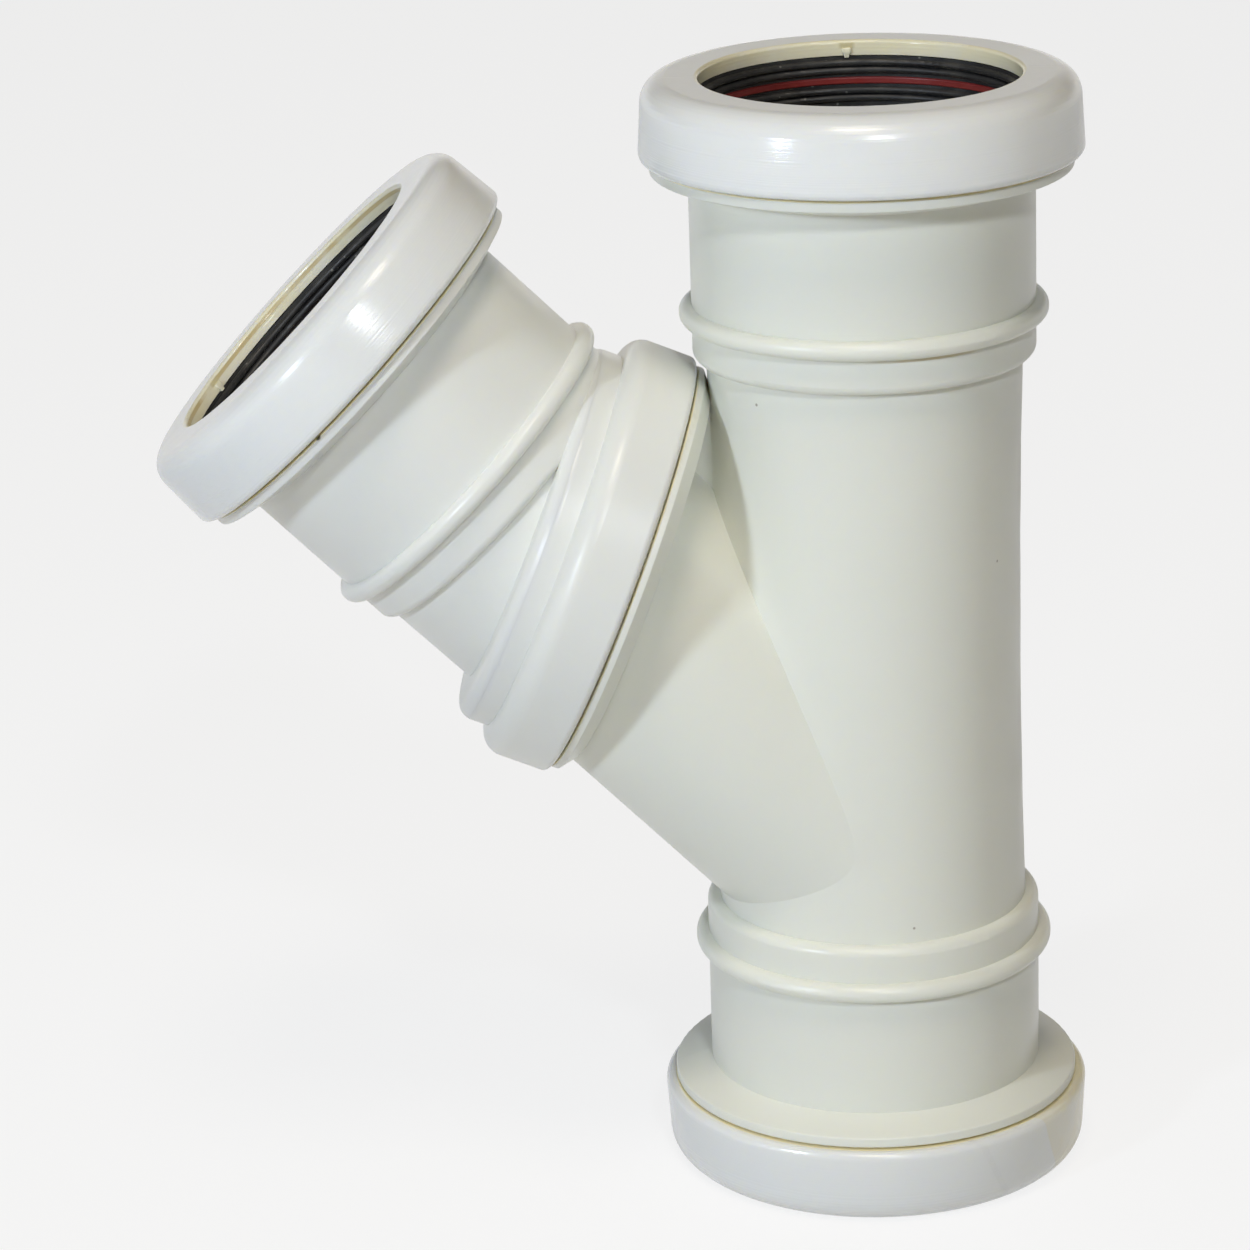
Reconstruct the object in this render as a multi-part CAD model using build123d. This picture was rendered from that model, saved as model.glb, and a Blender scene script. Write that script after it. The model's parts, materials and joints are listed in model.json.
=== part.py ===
from build123d import *
from math import cos, radians, sin
import os

# Lateral wye drain fitting, nominal size DN 50, in millimetres.
#
# The run is vertical, along Z. Its origin is on the run's axis at the pipe stop of the lower
# socket. The branch leans towards -X. It has two parts: a stub on the body, and an elbow that
# turns on the stub about an oblique axis. Turning the elbow by half a turn takes the branch from
# 45 to 90 degrees. All three ends carry the same push-fit socket: a seal chamber, a seal with a
# stiffening ring in it, and a cap that snaps over the chamber.

# Directions, in degrees from the run's axis
BRANCH_ANGLE = 45.0
SWIVEL_ANGLE = 67.5

# Lengths along the run and the branch
RUN_LENGTH = 184.8          # mouth to mouth
UPPER_MOUTH_TO_CROSSING = 127.7
CROSSING_TO_SWIVEL = 72.2   # along the branch axis, to where it meets the swivel axis
SWIVEL_TO_BRANCH_MOUTH = 58.2

# Push-fit socket: depths are measured in from the mouth
BORE_RADIUS = 25.3          # takes a pipe of 50 mm outside diameter
TUBE_RADIUS = 27.76
STOP_DEPTH = 42.0
WATERWAY_RADIUS = 22.5
CHAMBER_RADIUS = 30.4
CHAMBER_OUTER_RADIUS = 32.4
CHAMBER_TOP_DEPTH = 2.9
CHAMBER_FLOOR_DEPTH = 13.8
FLANGE_RADIUS = 33.9
FLANGE_FRONT_DEPTH = 13.3
FLANGE_EDGE_DEPTH = 15.0
FLANGE_BACK_DEPTH = 16.8
BEAD_RADIUS = 29.8
BEAD_DEPTH = 38.3
BEAD_WIDTH = 3.0
SHOULDER_DEPTH = 45.8
NECK_RADIUS = 25.6          # tube next to the shoulder; the run narrows slightly towards its middle
RUN_WAIST_RADIUS = 25.0
SNAP_DEPTH = 10.6           # middle of the groove that holds the cap
SNAP_WIDTH = 2.0
SNAP_GROOVE = 0.7

# Cap
CAP_RADIUS = 35.6
CAP_MOUTH_RADIUS = 34.9     # the skirt narrows towards the mouth
CAP_WIDEST_DEPTH = 11.6
CAP_END_DEPTH = 12.9
CAP_FACE = 2.6
CAP_OPENING = 25.73
CAP_OPENING_INNER = 26.07
CAP_CORNER_ROUND = 4.0
CAP_CLEARANCE = 0.15

# Seal and the stiffening ring in it
SEAL_BASE_RADIUS = 26.0
SEAL_LIP_RADIUS = 25.15     # the size the lips take on a pipe
SEAL_LIP_DEPTHS = (3.75, 5.0, 8.35, 9.6)
SEAL_LIP_WIDTH = 1.1
INSERT_DEPTH = 6.75
INSERT_WIDTH = 1.2
INSERT_RADIUS = 25.7
INSERT_OUTER_RADIUS = 28.6

# Stub and swivel: heights are along the swivel axis, from its crossing with the branch axis
STUB_RADIUS = 25.0
STUB_BORE_RADIUS = 22.4
SEAT_RADIUS = 35.0          # lip that the elbow's band meets
SEAT_FRONT = -11.6
SEAT_EDGE = -12.8
SEAT_BACK = -14.8
SEAT_BACK_RADIUS = 32.5
WALL_RADIUS = 32.6          # wall that the band snaps over
WALL_INNER_RADIUS = 30.3
WALL_TOP = -2.0
WEB_WIDTH = 5.0             # web in the narrow gap between the seat and the run
WEB_FOOT = 24.8             # distance of its foot from the run's axis
WEB_ROUND = 1.8
SHELF_RADIUS = 25.6
SHELF_TOP = -9.6
SWIVEL_GAP = 0.35
LATCH_HEIGHT = -7.0
LATCH_WIDTH = 2.0
LATCH_DEPTH = 0.9
BAND_RADIUS = 36.1
BAND_TOP = 0.5
BAND_ROUND = 3.6
COLLAR_RADIUS = 32.2
COLLAR_TOP = 5.9
COLLAR_ROUND = 2.6
COLLAR_INNER_RADIUS = 29.4
COLLAR_CEILING = 2.0
BELL_CEILING = -1.2
SPIGOT_RADIUS = 25.0
SPIGOT_BORE_RADIUS = 22.3
SPIGOT_END = -10.6
BORE_MEETING = 4.0          # height where the spigot's bore gives way to the tube's bore
ELBOW_ROOT_RADIUS = 25.7
ELBOW_NECK_RADIUS = 26.2
ELBOW_WATERWAY_RADIUS = 22.7
SWIVEL_SEAL_TOP = -4.6


def polar(angle):
    """Unit vector in the branch's plane, at an angle from the run's axis."""
    return Vector(-sin(radians(angle)), 0, cos(radians(angle)))


LOWER_MOUTH = Vector(0, 0, -STOP_DEPTH)
UPPER_MOUTH = LOWER_MOUTH + Vector(0, 0, RUN_LENGTH)
CROSSING = UPPER_MOUTH - Vector(0, 0, UPPER_MOUTH_TO_CROSSING)
BRANCH_DIRECTION = polar(BRANCH_ANGLE)
SWIVEL_DIRECTION = polar(SWIVEL_ANGLE)
SWIVEL_CENTRE = CROSSING + BRANCH_DIRECTION * CROSSING_TO_SWIVEL
BRANCH_MOUTH = SWIVEL_CENTRE + BRANCH_DIRECTION * SWIVEL_TO_BRANCH_MOUTH
SIDEWAYS = Vector(0, 1, 0)

UPPER = Plane(UPPER_MOUTH, x_dir=SIDEWAYS, z_dir=(0, 0, 1)).location
LOWER = Plane(LOWER_MOUTH, x_dir=SIDEWAYS, z_dir=(0, 0, -1)).location
BRANCH = Plane(BRANCH_MOUTH, x_dir=SIDEWAYS, z_dir=BRANCH_DIRECTION).location
SWIVEL = Plane(SWIVEL_CENTRE, x_dir=SIDEWAYS, z_dir=SWIVEL_DIRECTION).location
ALONG_BRANCH = Plane(SWIVEL_CENTRE, x_dir=SIDEWAYS, z_dir=BRANCH_DIRECTION).location


def turned(points, rounds=()):
    """Solid of revolution about Z from a closed outline of (radius, height) points.

    rounds lists (corner, fillet radius) pairs for the corners of the outline that are rounded.
    """
    outline = make_face(Polyline(*points, close=True))
    for corner, radius in rounds:
        nearest = outline.vertices().sort_by_distance(Vector(*corner))[0]
        outline = fillet(nearest, radius)
    return revolve(Plane.XZ * outline, Axis.Z)


def rod(radius, low, high, end_radius=None):
    """Cylinder or cone about Z between two heights."""
    top = radius if end_radius is None else end_radius
    return turned([(0, low), (radius, low), (top, high), (0, high)])


def socket_outside():
    """Filled outer shape of a socket, mouth at height 0 and opening towards +Z."""
    groove_top = -(SNAP_DEPTH - SNAP_WIDTH / 2)
    groove_bottom = -(SNAP_DEPTH + SNAP_WIDTH / 2)
    bead_top = -(BEAD_DEPTH - BEAD_WIDTH / 2)
    bead_bottom = -(BEAD_DEPTH + BEAD_WIDTH / 2)
    points = [
        (0, -CHAMBER_TOP_DEPTH),
        (CHAMBER_OUTER_RADIUS, -CHAMBER_TOP_DEPTH),
        (CHAMBER_OUTER_RADIUS, groove_top),
        (CHAMBER_OUTER_RADIUS - SNAP_GROOVE, groove_top),
        (CHAMBER_OUTER_RADIUS - SNAP_GROOVE, groove_bottom),
        (CHAMBER_OUTER_RADIUS, groove_bottom),
        (CHAMBER_OUTER_RADIUS, -FLANGE_FRONT_DEPTH),
        (FLANGE_RADIUS, -FLANGE_FRONT_DEPTH),
        (FLANGE_RADIUS, -FLANGE_EDGE_DEPTH),
        (TUBE_RADIUS, -FLANGE_BACK_DEPTH),
        (TUBE_RADIUS, bead_top),
        (BEAD_RADIUS, bead_top),
        (BEAD_RADIUS, bead_bottom),
        (TUBE_RADIUS, bead_bottom),
        (TUBE_RADIUS, -SHOULDER_DEPTH),
        (0, -SHOULDER_DEPTH),
    ]
    rounds = [
        ((BEAD_RADIUS, bead_top), 1.4),
        ((BEAD_RADIUS, bead_bottom), 1.4),
        ((TUBE_RADIUS, -SHOULDER_DEPTH), 1.4),
        ((FLANGE_RADIUS, -FLANGE_FRONT_DEPTH), 0.4),
        ((FLANGE_RADIUS, -FLANGE_EDGE_DEPTH), 0.3),
    ]
    return turned(points, rounds)


def socket_inside(waterway_radius):
    """Hollow of a socket: seal chamber, pipe bore down to the stop, and a little waterway."""
    return turned([
        (0, 1),
        (CHAMBER_RADIUS, 1),
        (CHAMBER_RADIUS, -CHAMBER_FLOOR_DEPTH),
        (BORE_RADIUS, -CHAMBER_FLOOR_DEPTH),
        (BORE_RADIUS, -STOP_DEPTH),
        (waterway_radius, -STOP_DEPTH),
        (waterway_radius, -SHOULDER_DEPTH - 1),
        (0, -SHOULDER_DEPTH - 1),
    ])


def seat_web():
    """Web in the branch's plane that ties the seat to the run where they nearly touch."""
    half = WEB_WIDTH / 2
    root = half + WEB_ROUND + 0.2
    outline = make_face(Polyline(
        (-WATERWAY_RADIUS, -root),
        (-WEB_FOOT, -root),
        (-WEB_FOOT, -half),
        (SWIVEL_CENTRE.X, -half),
        (SWIVEL_CENTRE.X, half),
        (-WEB_FOOT, half),
        (-WEB_FOOT, root),
        (-WATERWAY_RADIUS, root),
        close=True,
    ))
    for side in (-half, half):
        corner = outline.vertices().sort_by_distance(Vector(-WEB_FOOT, side))[0]
        outline = fillet(corner, WEB_ROUND)
    block = Pos(0, 0, SWIVEL_CENTRE.Z) * extrude(outline, 2 * SEAT_RADIUS)
    return block & SWIVEL * rod(SEAT_BACK_RADIUS, -3 * SEAT_RADIUS, SEAT_BACK + 0.5)


def wye_body():
    """Run with two sockets, the stub and the swivel seat."""
    run_middle = (UPPER_MOUTH.Z + LOWER_MOUTH.Z) / 2
    low = LOWER_MOUTH.Z + SHOULDER_DEPTH
    high = UPPER_MOUTH.Z - SHOULDER_DEPTH
    side = ThreePointArc((NECK_RADIUS, low), (RUN_WAIST_RADIUS, run_middle), (NECK_RADIUS, high))
    ends = Polyline((NECK_RADIUS, high), (0, high), (0, low), (NECK_RADIUS, low))
    run_tube = revolve(Plane.XZ * make_face(side + ends), Axis.Z)

    groove_top = LATCH_HEIGHT + LATCH_WIDTH / 2
    groove_bottom = LATCH_HEIGHT - LATCH_WIDTH / 2
    seat = turned([
        (0, WALL_TOP),
        (WALL_RADIUS, WALL_TOP),
        (WALL_RADIUS, groove_top),
        (WALL_RADIUS - LATCH_DEPTH, groove_top),
        (WALL_RADIUS - LATCH_DEPTH, groove_bottom),
        (WALL_RADIUS, groove_bottom),
        (WALL_RADIUS, SEAT_FRONT),
        (SEAT_RADIUS, SEAT_FRONT),
        (SEAT_RADIUS, SEAT_EDGE),
        (SEAT_BACK_RADIUS, SEAT_BACK),
        (0, SEAT_BACK),
    ], [((SEAT_RADIUS, SEAT_FRONT), 0.4), ((SEAT_RADIUS, SEAT_EDGE), 0.3)])
    seat_hollow = turned([
        (0, WALL_TOP + 1),
        (WALL_INNER_RADIUS, WALL_TOP + 1),
        (WALL_INNER_RADIUS, SHELF_TOP),
        (SHELF_RADIUS, SHELF_TOP),
        (SHELF_RADIUS, SEAT_FRONT),
        (0, SEAT_FRONT),
    ])
    above_seat = SWIVEL * rod(2 * SEAT_RADIUS, SEAT_FRONT, 2 * SEAT_RADIUS)
    stub = ALONG_BRANCH * rod(STUB_RADIUS, -CROSSING_TO_SWIVEL, 0) - above_seat
    stub_bore = ALONG_BRANCH * rod(STUB_BORE_RADIUS, -CROSSING_TO_SWIVEL, 0) - above_seat
    outside = run_tube + stub + SWIVEL * seat + seat_web()
    for end in (UPPER, LOWER):
        outside += end * socket_outside()
    body = outside - rod(WATERWAY_RADIUS, low - 1, high + 1) - stub_bore - SWIVEL * seat_hollow
    for end in (UPPER, LOWER):
        body -= end * socket_inside(WATERWAY_RADIUS)
    return body


def swivel_collar_and_elbow():
    """Bell that snaps over the swivel seat, and the elbow's tube and socket that it carries.

    They are one moulding, given as two solids that meet where the waterway bends.
    """
    skirt_radius = WALL_RADIUS + SWIVEL_GAP
    latch_radius = skirt_radius - LATCH_DEPTH + SWIVEL_GAP
    latch_half = LATCH_WIDTH / 2 - SWIVEL_GAP
    band_end = SEAT_FRONT + SWIVEL_GAP
    bell = turned([
        (SPIGOT_BORE_RADIUS, SPIGOT_END),
        (SPIGOT_RADIUS, SPIGOT_END),
        (SPIGOT_RADIUS, COLLAR_CEILING),
        (COLLAR_INNER_RADIUS, COLLAR_CEILING),
        (COLLAR_INNER_RADIUS, BELL_CEILING),
        (skirt_radius, BELL_CEILING),
        (skirt_radius, LATCH_HEIGHT + latch_half),
        (latch_radius, LATCH_HEIGHT + latch_half),
        (latch_radius, LATCH_HEIGHT - latch_half),
        (skirt_radius, LATCH_HEIGHT - latch_half),
        (skirt_radius, band_end),
        (BAND_RADIUS, band_end),
        (BAND_RADIUS, BAND_TOP),
        (COLLAR_RADIUS, BAND_TOP),
        (COLLAR_RADIUS, COLLAR_TOP),
        (SPIGOT_BORE_RADIUS, COLLAR_TOP),
    ], [
        ((BAND_RADIUS, band_end), 1.0),
        ((BAND_RADIUS, BAND_TOP), BAND_ROUND),
        ((COLLAR_RADIUS, COLLAR_TOP), COLLAR_ROUND),
    ])
    tube_top = SWIVEL_TO_BRANCH_MOUTH - SHOULDER_DEPTH
    tube = ALONG_BRANCH * rod(ELBOW_ROOT_RADIUS, -BORE_RADIUS, tube_top, ELBOW_NECK_RADIUS)
    tube_bore = ALONG_BRANCH * rod(ELBOW_WATERWAY_RADIUS, -BORE_RADIUS, tube_top + 1)
    below_bend = SWIVEL * rod(2 * SEAT_RADIUS, -2 * SEAT_RADIUS, BORE_MEETING)
    collar = SWIVEL * bell & below_bend
    elbow = SWIVEL * bell + tube + BRANCH * socket_outside() - below_bend
    elbow -= SWIVEL * rod(SPIGOT_BORE_RADIUS, SPIGOT_END, BORE_MEETING)
    return collar, elbow - tube_bore - BRANCH * socket_inside(ELBOW_WATERWAY_RADIUS)


def cap():
    """Snap-on cap with its mouth face at height 0."""
    skirt_radius = CHAMBER_OUTER_RADIUS + CAP_CLEARANCE
    snap_half = SNAP_WIDTH / 2 - CAP_CLEARANCE
    snap_radius = skirt_radius - SNAP_GROOVE
    return turned([
        (CAP_OPENING, 0),
        (CAP_MOUTH_RADIUS, 0),
        (CAP_RADIUS, -CAP_WIDEST_DEPTH),
        (CAP_RADIUS, -CAP_END_DEPTH),
        (skirt_radius, -CAP_END_DEPTH),
        (skirt_radius, -(SNAP_DEPTH + snap_half)),
        (snap_radius, -(SNAP_DEPTH + snap_half)),
        (snap_radius, -(SNAP_DEPTH - snap_half)),
        (skirt_radius, -(SNAP_DEPTH - snap_half)),
        (skirt_radius, -CAP_FACE),
        (CAP_OPENING_INNER, -CAP_FACE),
    ], [
        ((CAP_MOUTH_RADIUS, 0), CAP_CORNER_ROUND),
        ((CAP_RADIUS, -CAP_END_DEPTH), 1.0),
        ((CAP_OPENING, 0), 0.5),
    ])


def seal():
    """Rubber seal that fills the chamber, with ribbed lips and a slot for the stiffening ring."""
    top = -(CAP_FACE + CAP_CLEARANCE)
    bottom = -CHAMBER_FLOOR_DEPTH
    ring = turned([
        (SEAL_BASE_RADIUS, top),
        (CHAMBER_RADIUS - CAP_CLEARANCE, top),
        (CHAMBER_RADIUS - CAP_CLEARANCE, bottom),
        (SEAL_BASE_RADIUS, bottom),
    ])
    for depth in SEAL_LIP_DEPTHS:
        half = SEAL_LIP_WIDTH / 2
        ring += turned([
            (SEAL_BASE_RADIUS + 0.5, half - depth),
            (SEAL_LIP_RADIUS, half - depth),
            (SEAL_LIP_RADIUS, -half - depth),
            (SEAL_BASE_RADIUS + 0.5, -half - depth),
        ], [((SEAL_LIP_RADIUS, half - depth), 0.5), ((SEAL_LIP_RADIUS, -half - depth), 0.5)])
    slot_half = INSERT_WIDTH / 2
    return ring - turned([
        (SEAL_LIP_RADIUS - 1, slot_half - INSERT_DEPTH),
        (INSERT_OUTER_RADIUS, slot_half - INSERT_DEPTH),
        (INSERT_OUTER_RADIUS, -slot_half - INSERT_DEPTH),
        (SEAL_LIP_RADIUS - 1, -slot_half - INSERT_DEPTH),
    ])


def insert_ring():
    """Thin stiffening ring that sits in the seal's slot, between the lips."""
    half = INSERT_WIDTH / 2
    return turned([
        (INSERT_RADIUS, half - INSERT_DEPTH),
        (INSERT_OUTER_RADIUS, half - INSERT_DEPTH),
        (INSERT_OUTER_RADIUS, -half - INSERT_DEPTH),
        (INSERT_RADIUS, -half - INSERT_DEPTH),
    ], [((INSERT_RADIUS, half - INSERT_DEPTH), 0.3), ((INSERT_RADIUS, -half - INSERT_DEPTH), 0.3)])


def swivel_seal():
    """Rubber ring on the seat's shelf, round the elbow's spigot."""
    return turned([
        (SPIGOT_RADIUS + SWIVEL_GAP, SHELF_TOP),
        (WALL_INNER_RADIUS, SHELF_TOP),
        (WALL_INNER_RADIUS, SWIVEL_SEAL_TOP),
        (SPIGOT_RADIUS + SWIVEL_GAP, SWIVEL_SEAL_TOP),
    ], [((SPIGOT_RADIUS + SWIVEL_GAP, SWIVEL_SEAL_TOP), 1.2)])


def main():
    os.makedirs("parts", exist_ok=True)
    pieces = {"wye_body": wye_body(), "swivel_seal": SWIVEL * swivel_seal()}
    pieces["swivel_collar"], pieces["branch_elbow"] = swivel_collar_and_elbow()
    for name, place in (("upper", UPPER), ("lower", LOWER), ("branch", BRANCH)):
        pieces[f"{name}_cap"] = place * cap()
        pieces[f"{name}_seal"] = place * seal()
        pieces[f"{name}_insert_ring"] = place * insert_ring()
    for name, solid in pieces.items():
        export_step(solid, f"parts/{name}.step")


main()
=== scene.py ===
import json
import math

import bpy
from mathutils import Matrix, Vector


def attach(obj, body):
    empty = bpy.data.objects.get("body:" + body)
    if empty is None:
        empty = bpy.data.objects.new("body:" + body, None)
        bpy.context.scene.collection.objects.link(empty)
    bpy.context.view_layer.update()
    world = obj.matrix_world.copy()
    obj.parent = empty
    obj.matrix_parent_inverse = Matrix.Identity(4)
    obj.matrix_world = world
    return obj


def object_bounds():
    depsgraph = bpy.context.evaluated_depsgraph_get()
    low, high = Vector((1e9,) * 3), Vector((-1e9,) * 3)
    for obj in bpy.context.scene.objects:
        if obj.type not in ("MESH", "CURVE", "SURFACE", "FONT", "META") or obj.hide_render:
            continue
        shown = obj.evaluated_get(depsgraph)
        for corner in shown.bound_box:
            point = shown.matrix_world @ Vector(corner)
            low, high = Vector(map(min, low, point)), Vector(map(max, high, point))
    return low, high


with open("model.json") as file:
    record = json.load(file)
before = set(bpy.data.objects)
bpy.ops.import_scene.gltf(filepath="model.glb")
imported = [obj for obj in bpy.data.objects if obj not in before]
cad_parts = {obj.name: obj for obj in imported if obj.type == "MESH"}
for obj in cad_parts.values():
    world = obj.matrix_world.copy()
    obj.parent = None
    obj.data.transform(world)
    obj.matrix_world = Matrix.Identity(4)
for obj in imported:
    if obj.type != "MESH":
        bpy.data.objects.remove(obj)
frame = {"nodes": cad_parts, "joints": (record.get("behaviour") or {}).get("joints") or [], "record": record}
cad_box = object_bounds()
mounts = {mount["name"]: mount for mount in frame["record"]["mounts"]}
swivel = frame["joints"][0]
MM = 0.001

# ---- Studio
# White paper floor that runs back to a low white horizon, under a dim warm ceiling. A cool key
# light stands low at the left and a plain one in front, both small enough to give the fitting's
# own shadows a fairly crisp edge, and a broad warm light hangs overhead.
FLOOR_SIDE = 8.0
PAPER_WHITE = 0.78
PAPER_GLOW = 0.82
CEILING_COLOUR = (1.0, 0.84, 0.60)
CEILING = 0.05
HORIZON_TOP = 0.15              # as the sine of the elevation; the ceiling takes over from here
CEILING_START = 0.25
LAMP_DISTANCE = 1.3
CAMERA_PLACE = (-0.0246, -0.7010, 0.2865)
CAMERA_TURN = (71.451, 1.849, 0.653)
CAMERA_LENS = 128.97
low, high = cad_box


def node(tree, kind, inputs=(), **options):
    """Adds a shader node, sets its options, and fills or links its inputs."""
    made = tree.nodes.new("ShaderNode" + kind)
    for option, value in options.items():
        setattr(made, option, value)
    for name, value in dict(inputs).items():
        if isinstance(value, bpy.types.NodeSocket):
            tree.links.new(value, made.inputs[name])
        else:
            made.inputs[name].default_value = value
    return made


def largest(tree, *values):
    """The largest of several sockets."""
    top = values[0]
    for value in values[1:]:
        top = node(tree, "Math", {0: top, 1: value}, operation="MAXIMUM").outputs["Value"]
    return top


def seen(tree):
    """1 for rays that show the studio, 0 for those that carry its light to the fitting."""
    path = node(tree, "LightPath")
    rays = ("Is Camera Ray", "Is Glossy Ray", "Is Transmission Ray")
    return largest(tree, *[path.outputs[ray] for ray in rays])


bpy.ops.object.select_all(action="DESELECT")
bpy.ops.mesh.primitive_plane_add(size=FLOOR_SIDE, location=(0, 0, low.z))
floor = bpy.context.object
floor.name = "floor"
floor_paper = bpy.data.materials.new("floor_paper")
floor_paper.use_nodes = True
tree = floor_paper.node_tree
tree.nodes.remove(tree.nodes["Principled BSDF"])
matt = node(tree, "BsdfDiffuse", {"Color": (PAPER_WHITE, PAPER_WHITE, PAPER_WHITE, 1)})
glow = node(tree, "Emission", {"Color": (1, 1, 1, 1), "Strength": 1.0})
share = node(tree, "Math", {0: seen(tree), 1: PAPER_GLOW}, operation="MULTIPLY")
paper = node(tree, "MixShader", {0: share.outputs["Value"], 1: matt.outputs["BSDF"],
                                 2: glow.outputs["Emission"]})
tree.links.new(paper.outputs["Shader"], tree.nodes["Material Output"].inputs["Surface"])
floor.data.materials.append(floor_paper)

surround = bpy.data.worlds.new("studio_surround")
surround.use_nodes = True
bpy.context.scene.world = surround
tree = surround.node_tree
ceiling = tree.nodes["Background"]
ceiling.inputs["Color"].default_value = (*CEILING_COLOUR, 1)
ceiling.inputs["Strength"].default_value = CEILING
white = node(tree, "Background", {"Color": (1, 1, 1, 1), "Strength": 1.0})
direction = node(tree, "TexCoord").outputs["Generated"]
upwards = node(tree, "SeparateXYZ", {"Vector": direction}).outputs["Z"]
below = node(tree, "MapRange", {"Value": upwards, "From Min": HORIZON_TOP,
                                "From Max": CEILING_START, "To Min": 1.0, "To Max": 0.0})
share = node(tree, "Math", {0: seen(tree), 1: below.outputs["Result"]}, operation="MULTIPLY")
both = node(tree, "MixShader", {0: share.outputs["Value"], 1: ceiling.outputs["Background"],
                                2: white.outputs["Background"]})
tree.links.new(both.outputs["Shader"], tree.nodes["World Output"].inputs["Surface"])


def lamp(name, azimuth, elevation, side, watts, colour):
    """Square soft light aimed at the fitting's middle; azimuth 0 is the front, -Y."""
    panel = bpy.data.lights.new(name, "AREA")
    panel.shape = "SQUARE"
    panel.size = side
    panel.energy = watts
    panel.color = colour
    holder = bpy.data.objects.new(name, panel)
    bpy.context.collection.objects.link(holder)
    round_about = math.radians(azimuth)
    up = math.radians(elevation)
    towards = Vector((math.sin(round_about) * math.cos(up), -math.cos(round_about) * math.cos(up),
                      math.sin(up)))
    holder.location = (low + high) / 2 + towards * LAMP_DISTANCE
    holder.rotation_euler = towards.to_track_quat("Z", "Y").to_euler()


lamp("key_light", -42, 21, 0.12, 6.9, (0.76, 0.86, 1.0))
lamp("second_light", 11, 36, 0.12, 4.4, (0.93, 0.97, 1.0))
lamp("top_light", 0, 70, 0.35, 5.4, (1.0, 0.88, 0.72))

camera = bpy.data.objects.new("camera", bpy.data.cameras.new("camera"))
bpy.context.collection.objects.link(camera)
camera.location = CAMERA_PLACE
camera.rotation_euler = [math.radians(angle) for angle in CAMERA_TURN]
camera.data.lens = CAMERA_LENS
camera.data.clip_start = 0.01
bpy.context.scene.camera = camera
bpy.context.scene.view_settings.view_transform = "Standard"

# ---- Wye body
# One piece of off-white rigid PVC, injection moulded in two halves that part on the plane of
# the run and the branch. Its surface is satin, faintly clouded, with a few specks in it. Brown
# dust lies in the hairline joints where the caps and the swivel band meet it. That colour is made
# light and warm, so it also paints a glow over the shade of the narrow gaps.
BODY_WHITE = (0.82, 0.83, 0.75)
BODY_ROUGHNESS = 0.34
PLASTIC_IOR = 1.5
DEPTH_SHARE = 0.25              # how much of the light goes through the skin, and how far
DEPTH_COLOUR = (1.0, 0.85, 0.45)
DEPTH = 3.0 * MM
CLOUD_SCALE = 30                # every scale is in features a metre
CLOUD_DARK = 0.97
CLOUD_LIGHT = 1.02
SPECK_SCALE = 62.0
SPECK_SIZE = 0.010              # of a speck's cell
SPECK_SHARE = 0.75
SPECK_BROWN = (0.30, 0.26, 0.20)
SMEAR_SCALE = 70
SMEAR_GLOSS = 0.86
SMEAR_DULL = 1.2
SWELL_SCALE = 55
SWELL_DEPTH = 0.06 * MM
GRAIN_SCALE = 900
GRAIN_DEPTH = 0.008 * MM
PARTING_HALF = 0.12 * MM
PARTING_DEPTH = 0.03 * MM
FLANGE_HEIGHT = 28.7 * MM       # from a socket's pipe stop, along its axis
SEAT_HEIGHT = -11.6 * MM        # from the swivel's centre, along its axis
JOINT_REACH = 37.0 * MM
JOINT_HALF = 0.12 * MM
JOINT_FADE = 0.2 * MM
# Dust in the hairline joints, made light and warm so that it also paints a glow over the shade of the narrow
# gaps.
JOINT_DUST_AND_GLOW = (0.99, 0.90, 0.62)
DUST_AND_GLOW_SCALE = 140
BEAD_FOOT_HEIGHT = 1.7 * MM     # where shade is painted in the crease under the upper socket's bead
TUBE_RADIUS = 27.76 * MM
BEAD_SHADE_SCALE = 45
BEAD_SHADE_START = -4.0 * MM          # along X; there is none to the left of this
BEAD_SHADE_FULL = 6.0 * MM
BEAD_SHADE = (0.60, 0.48, 0.24)


def noise(tree, place, scale, detail=2.0):
    """Cloudy noise between 0 and 1; the scale is in features a metre."""
    made = node(tree, "TexNoise", {"Vector": place, "Scale": scale, "Detail": detail})
    return made.outputs["Fac"]


def ramp(tree, value, start, end, first, last):
    """Smooth step from first to last while a value goes from start to end."""
    made = node(tree, "MapRange", {"Value": value, "From Min": start, "From Max": end,
                                   "To Min": first, "To Max": last},
                interpolation_type="SMOOTHSTEP")
    return made.outputs["Result"]


def times(tree, first, second):
    """Product of a socket and a socket or a number."""
    return node(tree, "Math", {0: first, 1: second}, operation="MULTIPLY").outputs["Value"]


def about_axis(tree, place, centre, axis):
    """Distance from an axis in the branch's plane, and height along it from its centre."""
    tilt = math.atan2(axis[0], axis[2])
    turned = node(tree, "Mapping", {"Vector": place, "Location": centre, "Rotation": (0, tilt, 0)},
                  vector_type="TEXTURE")
    parts = node(tree, "SeparateXYZ", {"Vector": turned.outputs["Vector"]})
    across = node(tree, "CombineXYZ", {"X": parts.outputs["X"], "Y": parts.outputs["Y"]})
    distance = node(tree, "VectorMath", {0: across.outputs["Vector"]}, operation="LENGTH")
    return distance.outputs["Value"], parts.outputs["Z"]


def near(tree, value, middle, half):
    """1 where a value is within half of the middle, fading to 0 at twice that."""
    off = node(tree, "Math", {0: value, 1: middle}, operation="SUBTRACT").outputs["Value"]
    size = node(tree, "Math", {0: off}, operation="ABSOLUTE").outputs["Value"]
    return ramp(tree, size, half, 2 * half, 1.0, 0.0)


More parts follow.
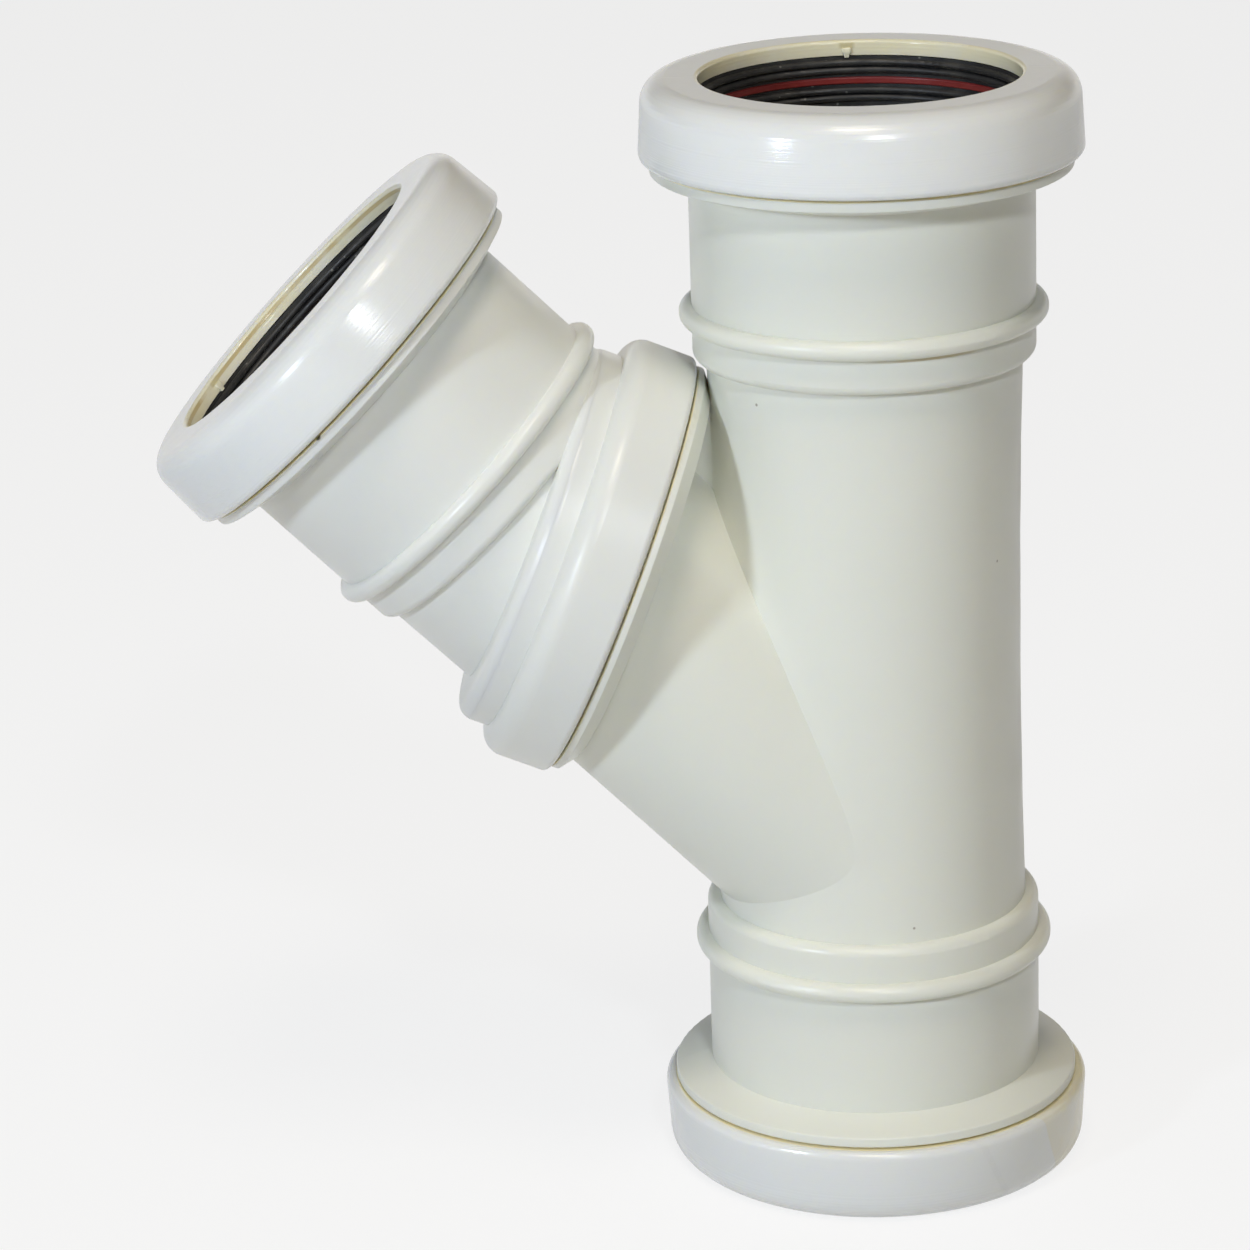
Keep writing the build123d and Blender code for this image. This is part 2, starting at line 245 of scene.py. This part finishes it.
def overpaint(tree, mask, colour):
    """Lays a colour over what the shader has, where a mask is 1."""
    paint = tree.nodes["Principled BSDF"].inputs["Base Color"]
    layer = node(tree, "Mix", {"Factor": mask, "A": paint.links[0].from_socket,
                               "B": (*colour, 1)}, data_type="RGBA")
    tree.links.new(layer.outputs["Result"], paint)


def bump(tree, height, strength, depth, sunken=False):
    """Lays a relief over those that the shader has."""
    normal = tree.nodes["Principled BSDF"].inputs["Normal"]
    under = {"Normal": normal.links[0].from_socket} if normal.is_linked else {}
    relief = node(tree, "Bump", {"Height": height, "Strength": strength, "Distance": depth, **under},
                  invert=sunken)
    tree.links.new(relief.outputs["Normal"], normal)


def new_material(name):
    """A material, its tree, its shader, and a node for the place in the object."""
    material = bpy.data.materials.new(name)
    material.use_nodes = True
    tree = material.node_tree
    return material, tree, tree.nodes["Principled BSDF"], node(tree, "TexCoord").outputs["Object"]


def moulded_plastic(name, colour, roughness, joints, reach):
    """Clouded plastic with specks, a parting line, and dust with a painted warm glow in its joints.

    Each joint is the centre and direction of an axis, and the joint's height along it. The
    dust and the painted glow go out to reach from that axis. Returns what new_material does.
    """
    material, tree, shader, place = new_material(name)
    shader.inputs["IOR"].default_value = PLASTIC_IOR
    shader.inputs["Subsurface Weight"].default_value = DEPTH_SHARE
    shader.inputs["Subsurface Radius"].default_value = DEPTH_COLOUR
    shader.inputs["Subsurface Scale"].default_value = DEPTH

    dark, light = [(*[part * much for part in colour], 1) for much in (CLOUD_DARK, CLOUD_LIGHT)]
    cloud = node(tree, "Mix", {"Factor": noise(tree, place, CLOUD_SCALE, 3), "A": dark, "B": light},
                 data_type="RGBA")
    tree.links.new(cloud.outputs["Result"], shader.inputs["Base Color"])

    specks = node(tree, "TexVoronoi", {"Vector": place, "Scale": SPECK_SCALE}).outputs["Distance"]
    overpaint(tree, ramp(tree, specks, SPECK_SIZE, 2 * SPECK_SIZE, SPECK_SHARE, 0.0), SPECK_BROWN)

    uneven = ramp(tree, noise(tree, place, DUST_AND_GLOW_SCALE, 4), 0.35, 0.6, 0.70, 1.0)
    for centre, axis, height in joints:
        distance, along = about_axis(tree, place, centre, axis)
        joint = times(tree, near(tree, along, height, JOINT_HALF),
                      ramp(tree, distance, reach, reach + JOINT_FADE, 1.0, 0.0))
        # Painted glow over the shade in the joint's gap, together with the dust there.
        overpaint(tree, times(tree, joint, uneven), JOINT_DUST_AND_GLOW)

    smears = noise(tree, place, SMEAR_SCALE, 5)
    tree.links.new(ramp(tree, smears, 0.35, 0.68, roughness * SMEAR_GLOSS, roughness * SMEAR_DULL),
                   shader.inputs["Roughness"])
    sideways = node(tree, "SeparateXYZ", {"Vector": place}).outputs["Y"]
    bump(tree, noise(tree, place, SWELL_SCALE, 1), 1.0, SWELL_DEPTH)
    bump(tree, noise(tree, place, GRAIN_SCALE, 3), 0.35, GRAIN_DEPTH)
    bump(tree, near(tree, sideways, 0.0, PARTING_HALF), 0.8, PARTING_DEPTH)
    return material, tree, shader, place


def at_socket(end, height):
    """A joint at a height above a socket's pipe stop."""
    mount = mounts[f"{end}_socket"]
    return mount["pos_m"], mount["axis"], height


swivel_joint = (swivel["pos_m"], swivel["axis"], SEAT_HEIGHT)
body_joints = [at_socket("upper", FLANGE_HEIGHT), at_socket("lower", FLANGE_HEIGHT), swivel_joint]
body_plastic, tree, _, place = moulded_plastic("body_plastic", BODY_WHITE, BODY_ROUGHNESS,
                                               body_joints, JOINT_REACH)
# Painted shade: a golden-brown line in the crease at the foot of the upper socket's bead, on the right side
# only, away from the key light.
distance, along = about_axis(tree, place, *at_socket("upper", 0)[:2])
shaded_foot = times(tree, near(tree, along, BEAD_FOOT_HEIGHT, JOINT_HALF),
                ramp(tree, noise(tree, place, BEAD_SHADE_SCALE, 3), 0.40, 0.60, 0.0, 0.75))
in_corner = ramp(tree, distance, TUBE_RADIUS + 0.1 * MM, TUBE_RADIUS + 0.3 * MM, 1.0, 0.0)
rightwards = node(tree, "SeparateXYZ", {"Vector": place}).outputs["X"]
one_side = ramp(tree, rightwards, BEAD_SHADE_START, BEAD_SHADE_FULL, 0.0, 1.0)
overpaint(tree, times(tree, times(tree, shaded_foot, in_corner), one_side), BEAD_SHADE)
frame["nodes"]["wye_body"].material_slots[0].material = body_plastic

# ---- Branch elbow and its swivel collar
# The second moulding, from a whiter batch of the same plastic: the collar snaps over the body's
# seat and turns on it, and carries the elbow's tube and socket. A speck of grit has stuck to the
# edge of the socket's flange, against the cap.
ELBOW_WHITE = (0.81, 0.82, 0.78)
ELBOW_ROUGHNESS = 0.32
GRIT_PLACE = (-0.0861, -0.0334, 0.0946)
GRIT_RADIUS = 0.3 * MM
GRIT_GREY = (0.09, 0.08, 0.05)
elbow_joints = [at_socket("branch", FLANGE_HEIGHT), swivel_joint]
elbow_plastic, tree, _, place = moulded_plastic("elbow_plastic", ELBOW_WHITE, ELBOW_ROUGHNESS,
                                                elbow_joints, JOINT_REACH)
off_grit = node(tree, "VectorMath", {0: place, 1: GRIT_PLACE}, operation="DISTANCE")
overpaint(tree, near(tree, off_grit.outputs["Value"], 0.0, GRIT_RADIUS), GRIT_GREY)
for moulding in ("swivel_collar", "branch_elbow"):
    frame["nodes"][moulding].material_slots[0].material = elbow_plastic

# ---- Socket caps
# Three snap-on caps in a brighter, glossier plastic, one on each socket. Their side is slightly
# crowned, and the turned mould left faint rings that draw each highlight out along the cap. The
# wall of each opening is tinted yellow in blotches, with a brown line where lubricant dried on the branch's.
CAP_WHITE = (0.83, 0.845, 0.83)
CAP_ROUGHNESS = 0.21
CAP_END_HEIGHT = 29.1 * MM
FLANGE_RADIUS = 33.9 * MM
OPENING_RADIUS = 25.73 * MM
OPENING_TOP = 42.0 * MM
WALL_START = 0.35 * MM          # from the opening's radius: the lip is rounded from here
WALL_END = 0.75 * MM
WALL_YELLOW = (0.82, 0.77, 0.56)
YELLOW_SCALE = 90
CROWN_FOOT = 30.0 * MM          # below this height the cap's side is straight
CROWN_RADIUS = 50.0 * MM
LINE_DEPTH = 0.9 * MM           # from the mouth
LINE_HALF = 0.22 * MM
LINE_SCALE = 75
LUBRICANT = (0.58, 0.47, 0.24)
TURNING_SCALE = 3000.0
TURNING_DEPTH = 0.03 * MM
ENDS = ("upper", "lower", "branch")
cap_joints = [at_socket(end, CAP_END_HEIGHT) for end in ENDS]
cap_plastic, tree, _, place = moulded_plastic("cap_plastic", CAP_WHITE, CAP_ROUGHNESS,
                                              cap_joints, FLANGE_RADIUS)
blotches = ramp(tree, noise(tree, place, YELLOW_SCALE, 4), 0.3, 0.6, 0.45, 1.0)
height = node(tree, "SeparateXYZ", {"Vector": place}).outputs["Z"]
for end in ENDS:
    distance, along = about_axis(tree, place, *at_socket(end, 0)[:2])
    on_cap = ramp(tree, distance, JOINT_REACH, JOINT_REACH + MM, 1.0, 0.0)
    wall = ramp(tree, distance, OPENING_RADIUS + WALL_START, OPENING_RADIUS + WALL_END, 1.0, 0.0)
    # A blotchy yellow tint on the wall of each opening.
    overpaint(tree, times(tree, wall, blotches), WALL_YELLOW)
    above_foot = node(tree, "Math", {0: along, 1: CROWN_FOOT}, operation="SUBTRACT")
    rise = node(tree, "Math", {0: above_foot.outputs["Value"], 1: 0.0}, operation="MAXIMUM")
    fall = times(tree, times(tree, rise.outputs["Value"], rise.outputs["Value"]), on_cap)
    bump(tree, fall, 1.0, 0.5 / CROWN_RADIUS, sunken=True)
# The loop ended on the branch's socket, so wall, along and on_cap are the branch's from here on.
dried = ramp(tree, noise(tree, place, LINE_SCALE, 5), 0.35, 0.55, 0.0, 0.9)
brown_line = times(tree, near(tree, along, OPENING_TOP - LINE_DEPTH, LINE_HALF), dried)
overpaint(tree, times(tree, wall, brown_line), LUBRICANT)

up_the_cap = node(tree, "Mix", {"Factor": on_cap, "A": height, "B": along}, data_type="FLOAT")
rings = node(tree, "TexNoise", {"W": up_the_cap.outputs["Result"], "Scale": TURNING_SCALE,
                                "Detail": 2.0}, noise_dimensions="1D")
bump(tree, rings.outputs["Fac"], 1.0, TURNING_DEPTH)
for end in ENDS:
    frame["nodes"][f"{end}_cap"].material_slots[0].material = cap_plastic

# ---- Gate nibs
# Each cap was filled through a gate in the wall of its opening. On the upper and the branch cap
# the cut left a small nib of the cap's plastic at the wall's inner lip, under a brown scar.
NIB_WIDTH = 1.5 * MM
NIB_DEPTH = 1.0 * MM
NIB_LENGTH = 1.7 * MM
NIB_RADIUS = 25.95 * MM
NIB_HEIGHT = 39.9 * MM
NIB_TAPER = (0.55, 0.6, 1.0)
TAPER_START = -0.2 * NIB_LENGTH
SCAR_HEIGHT = 41.1 * MM
SCAR_HALF_HEIGHT = 0.30 * MM
SCAR_HALF_WIDTH = 0.80 * MM
SCAR_SHARE = 0.8
SCAR_BROWN = (0.60, 0.53, 0.30)
# end: (body it rides on, degrees round the socket's axis from straight back)
GATES = {"upper": ("body", 2.7), "branch": ("branch", 58.0)}
for end, (body, turn) in GATES.items():
    stop, direction = [Vector(each) for each in at_socket(end, 0)[:2]]
    back = Vector((0, 1, 0))
    angle = math.radians(turn)
    outwards = back * math.cos(angle) + direction.cross(back) * math.sin(angle)
    across = direction.cross(outwards)

    scar = stop + direction * SCAR_HEIGHT + outwards * OPENING_RADIUS
    from_scar = node(tree, "VectorMath", {0: place, 1: scar}, operation="SUBTRACT").outputs["Vector"]
    cut = []
    for way, half in ((direction, SCAR_HALF_HEIGHT), (across, SCAR_HALF_WIDTH), (outwards, MM)):
        off = node(tree, "VectorMath", {0: from_scar, 1: way}, operation="DOT_PRODUCT")
        cut.append(near(tree, off.outputs["Value"], 0.0, half))
    there = times(tree, times(tree, cut[0], cut[1]), times(tree, cut[2], SCAR_SHARE))
    overpaint(tree, there, SCAR_BROWN)

    bpy.ops.object.select_all(action="DESELECT")
    bpy.ops.mesh.primitive_cube_add(size=1)
    nib = bpy.context.object
    nib.name = f"{end}_gate_nib"
    bpy.ops.object.mode_set(mode="EDIT")
    bpy.ops.transform.resize(value=(NIB_WIDTH, NIB_DEPTH, NIB_LENGTH))
    bpy.ops.mesh.subdivide(number_cuts=3)
    bpy.ops.mesh.select_all(action="DESELECT")
    bpy.ops.object.mode_set(mode="OBJECT")
    for corner in nib.data.vertices:
        corner.select = corner.co.z < TAPER_START
    bpy.ops.object.mode_set(mode="EDIT")
    bpy.ops.transform.resize(value=NIB_TAPER, center_override=(0, 0, -NIB_LENGTH / 2))
    bpy.ops.object.mode_set(mode="OBJECT")
    rounded = nib.modifiers.new("rounded", "SUBSURF")
    rounded.levels = 2
    rounded.render_levels = 2
    bpy.ops.object.modifier_apply(modifier="rounded")
    bpy.ops.object.shade_smooth()
    turned_in = Matrix((across, -outwards, direction)).transposed().to_4x4()
    turned_in.translation = stop + direction * NIB_HEIGHT + outwards * NIB_RADIUS
    nib.matrix_world = turned_in
    bpy.ops.object.transform_apply(location=True, rotation=True, scale=True)
    nib.data.materials.append(cap_plastic)
    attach(nib, body)

# ---- Seals
# Black rubber rings with ribbed lips, moulded, one in each socket behind its cap and one in
# the swivel joint. Fine pale dust clings to them.
RUBBER_BLACK = (0.016, 0.016, 0.017)
RUBBER_DUST = (0.065, 0.063, 0.056)
FILM_SCALE = 160
MOTE_SCALE = 420.0
MOTE_GREY = (0.30, 0.29, 0.26)
SHEEN_SCALE = 260
PORE_SCALE = 1400
PORE_DEPTH = 0.02 * MM
seal_rubber, tree, rubber, place = new_material("seal_rubber")
dusty = ramp(tree, noise(tree, place, FILM_SCALE, 6), 0.42, 0.75, 0.0, 0.6)
film = node(tree, "Mix", {"Factor": dusty, "A": (*RUBBER_BLACK, 1), "B": (*RUBBER_DUST, 1)},
            data_type="RGBA")
tree.links.new(film.outputs["Result"], rubber.inputs["Base Color"])
motes = node(tree, "TexVoronoi", {"Vector": place, "Scale": MOTE_SCALE}).outputs["Distance"]
overpaint(tree, ramp(tree, motes, 0.07, 0.12, 0.5, 0.0), MOTE_GREY)
tree.links.new(ramp(tree, noise(tree, place, SHEEN_SCALE, 4), 0.3, 0.7, 0.38, 0.62),
               rubber.inputs["Roughness"])
bump(tree, noise(tree, place, PORE_SCALE, 3), 0.5, PORE_DEPTH)
for ring in (*ENDS, "swivel"):
    frame["nodes"][f"{ring}_seal"].material_slots[0].material = seal_rubber

# ---- Stiffening rings
# Thin rings of red plastic that sit between the lips of each socket's seal and hold it open.
RING_RED = (0.25, 0.022, 0.018)
RING_DARK = (0.17, 0.02, 0.02)
WEAR_SCALE = 110
RUB_SCALE = 300
insert_red, tree, red, place = new_material("insert_red")
worn = node(tree, "Mix", {"Factor": noise(tree, place, WEAR_SCALE, 5), "A": (*RING_DARK, 1),
                          "B": (*RING_RED, 1)}, data_type="RGBA")
tree.links.new(worn.outputs["Result"], red.inputs["Base Color"])
tree.links.new(ramp(tree, noise(tree, place, RUB_SCALE, 3), 0.3, 0.7, 0.32, 0.5),
               red.inputs["Roughness"])
for ring in ENDS:
    frame["nodes"][f"{ring}_insert_ring"].material_slots[0].material = insert_red
